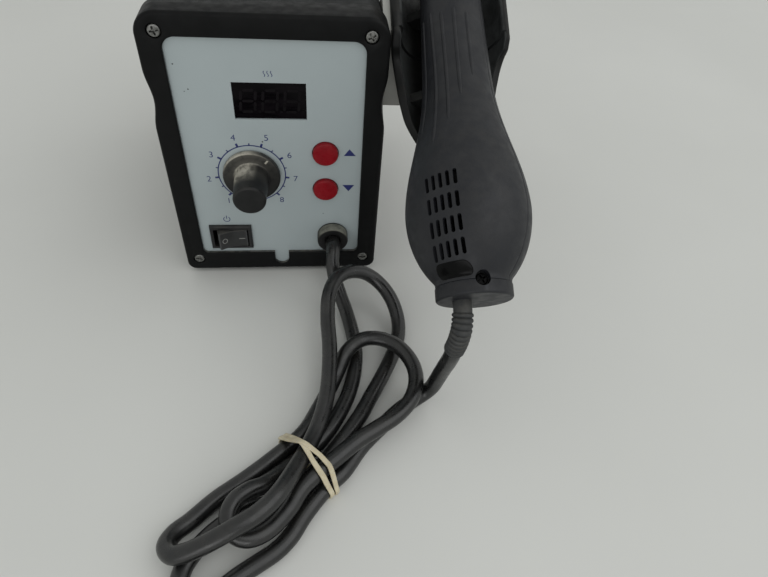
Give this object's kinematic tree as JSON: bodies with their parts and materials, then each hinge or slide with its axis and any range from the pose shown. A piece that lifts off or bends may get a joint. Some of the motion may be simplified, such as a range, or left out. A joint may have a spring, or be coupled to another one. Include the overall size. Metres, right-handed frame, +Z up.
{
  "type": "hot air station",
  "caption": "Hot air station: control box with display, airflow knob, buttons and power rocker, and a blower handle on a coiled cord resting in a side holder.",
  "frame": {"origin": "on the table, below the middle of the box around the station, its holder and its handle, without the cord", "axes": "+X to the right as seen by the user, +Y away from the user towards the rear, +Z up"},
  "size_m": [0.1536, 0.3196, 0.1862],
  "materials": {
    "bezel_plastic": "satin moulded",
    "panel_print": "pale blue-grey lacquer with dark blue print",
    "smoked_window": "dark red gloss",
    "display_body": "black with grey segments",
    "circuit_board": "green solder mask",
    "plated_brass": "nickel-tinted",
    "zinc_screw": "zinc plated",
    "switch_black": "fine grain",
    "cover_paint": "fine textured powder coat",
    "bare_steel": "plated",
    "foot_rubber": "matt",
    "rear_paint": "grey lacquer",
    "terminal_metal": "tinned",
    "lamination": "varnished stack",
    "copper_coil": "wrapped in amber tape",
    "bracket_paint": "light grey",
    "holder_plastic": "satin moulded",
    "magnet": "nickel",
    "knob_plastic": "satin, dusty",
    "shaft_steel": "turned",
    "button_red": "semi-gloss",
    "handle_plastic": "satin moulded",
    "label_gloss": "gloss",
    "boot_rubber": "matt ribbed",
    "collar_paint": "satin",
    "barrel_steel": "heat-tinted",
    "ceramic": "unglazed ceramic",
    "fan_plastic": "plain",
    "reed_glass": "green-tinted glass",
    "cord_rubber": "satin",
    "band_rubber": "cream, dusty"
  },
  "bodies": {
    "station": {"front_bezel": "bezel_plastic", "front_panel": "panel_print", "display_window": "smoked_window", "display_module": "display_body", "control_board": "circuit_board", "board_posts": "plated_brass", "board_screws": "zinc_screw", "tact_switches": "switch_black", "airflow_pot": "bare_steel", "switch_frame": "switch_black", "switch_terminals": "terminal_metal", "cord_gland": "switch_black", "gland_nut": "switch_black", "bezel_screws": "zinc_screw", "case_cover": "cover_paint", "cover_screws": "zinc_screw", "base_plate": "bare_steel", "rubber_feet": "foot_rubber", "rear_bezel": "bezel_plastic", "rear_panel": "rear_paint", "rear_screws": "zinc_screw", "mains_inlet": "switch_black", "inlet_pins": "terminal_metal", "transformer_core": "lamination", "transformer_coil": "copper_coil", "transformer_strap": "bare_steel", "strap_screws": "zinc_screw", "holder_bracket": "bracket_paint", "bracket_screws": "zinc_screw", "handle_holder": "holder_plastic", "holder_screws": "zinc_screw", "holder_magnet": "magnet", "handle_cord": "cord_rubber", "rubber_band": "band_rubber"},
    "knob": {"airflow_knob": "knob_plastic", "pot_shaft": "shaft_steel"},
    "button_up": {"button_up": "button_red"},
    "button_down": {"button_down": "button_red"},
    "rocker": {"power_rocker": "switch_black"},
    "handle": {"upper_shell": "handle_plastic", "lower_shell": "handle_plastic", "label_plate": "label_gloss", "end_cap": "handle_plastic", "cap_screws": "zinc_screw", "cord_boot": "boot_rubber", "front_collar": "collar_paint", "collar_screws": "zinc_screw", "heater_barrel": "barrel_steel", "heater_core": "ceramic", "fan_housing": "fan_plastic", "fan_motor": "bare_steel", "reed_switch": "reed_glass"},
    "impeller": {"fan_impeller": "fan_plastic"}
  },
  "joints": [
    {"name": "airflow_turn", "type": "hinge", "parent": "station", "child": "knob", "pos_m": [-0.038, -0.02787, 0.0633], "axis": [0, 1, 0], "range_deg": [-176, 96]},
    {"name": "button_up_press", "type": "slide", "parent": "station", "child": "button_up", "axis": [0, 1, 0], "range_m": [0, 0.0006], "stiffness_N_per_m": 300, "springref_m": -0.001},
    {"name": "button_down_press", "type": "slide", "parent": "station", "child": "button_down", "axis": [0, 1, 0], "range_m": [0, 0.0006], "stiffness_N_per_m": 300, "springref_m": -0.001},
    {"name": "rocker_tilt", "type": "hinge", "parent": "station", "child": "rocker", "pos_m": [-0.0519, -0.02437, 0.0244], "axis": [0, 0, 1], "range_deg": [-28, 0]},
    {"name": "handle_lift", "type": "slide", "parent": "station", "child": "handle", "axis": [0, -0.5, 0.866], "range_m": [0, 0.05]},
    {"name": "fan_spin", "type": "hinge", "parent": "handle", "child": "impeller", "pos_m": [0.0518, -0.08247, 0.0844], "axis": [0, 0.866, 0.5], "continuous": true}
  ]
}
